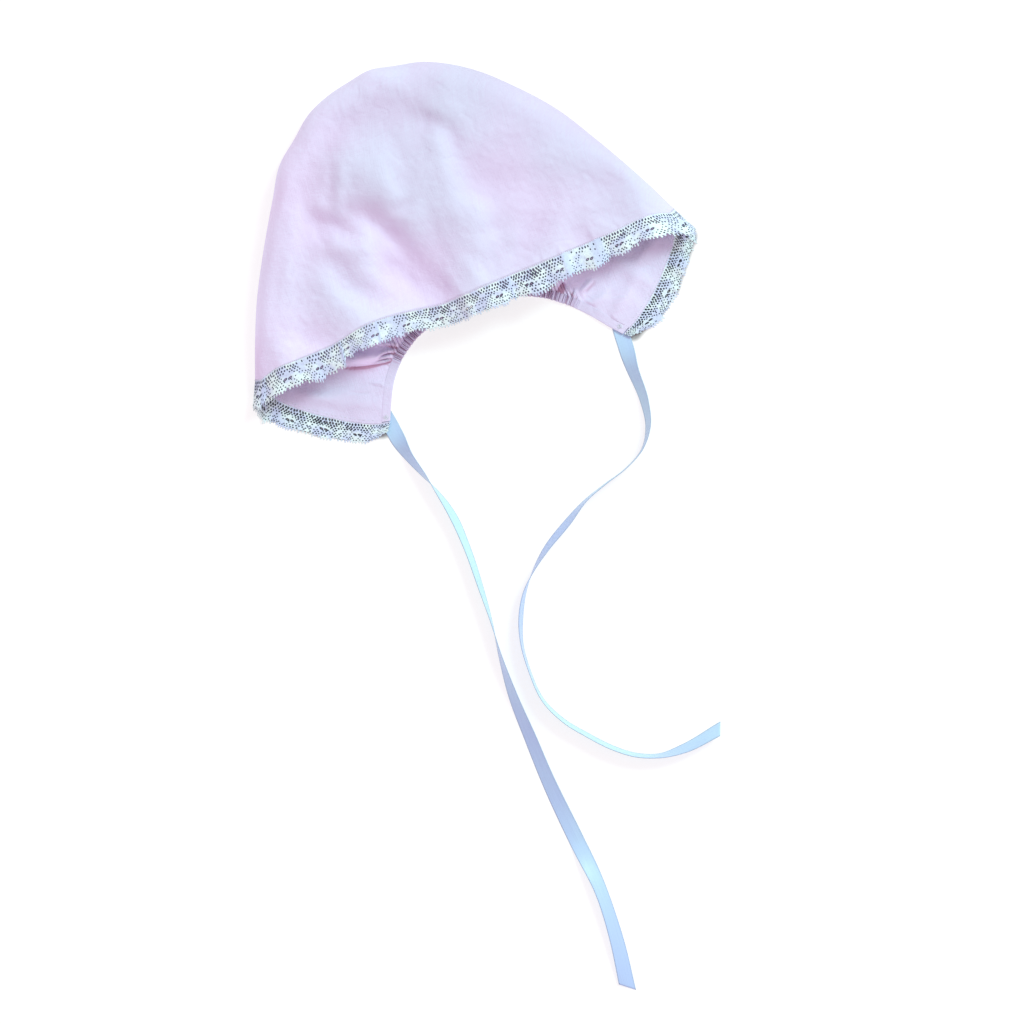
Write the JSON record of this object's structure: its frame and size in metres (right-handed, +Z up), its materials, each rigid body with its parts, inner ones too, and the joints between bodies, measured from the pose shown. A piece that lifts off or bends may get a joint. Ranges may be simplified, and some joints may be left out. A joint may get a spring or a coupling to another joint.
{
  "type": "baby bonnet",
  "caption": "Soft cloth baby bonnet lying folded flat: puffed crown, lace edging along the face, shirred neck casing and loose satin ribbon ties.",
  "frame": {"origin": "middle of the bonnet's own base on the surface it lies on, measured without the ribbon ties", "axes": "+X left to right along the face edge; +Y from the face edge towards the back of the head; +Z up from the surface"},
  "size_m": [0.2155, 0.4281, 0.033],
  "materials": {
    "crown": "fine plain-woven cotton, soft, pale pink to lavender",
    "lace_trim": "white cotton lace, open net with dense scallops",
    "neck_casing": "the same cotton folded into a narrow channel and shirred",
    "tie_left": "satin ribbon, soft sheen",
    "tie_right": "satin ribbon, soft sheen"
  },
  "bodies": {
    "root": {"crown": "crown", "lace_trim": "lace_trim", "neck_casing": "neck_casing", "tie_left": "tie_left", "tie_right": "tie_right"}
  },
  "joints": []
}
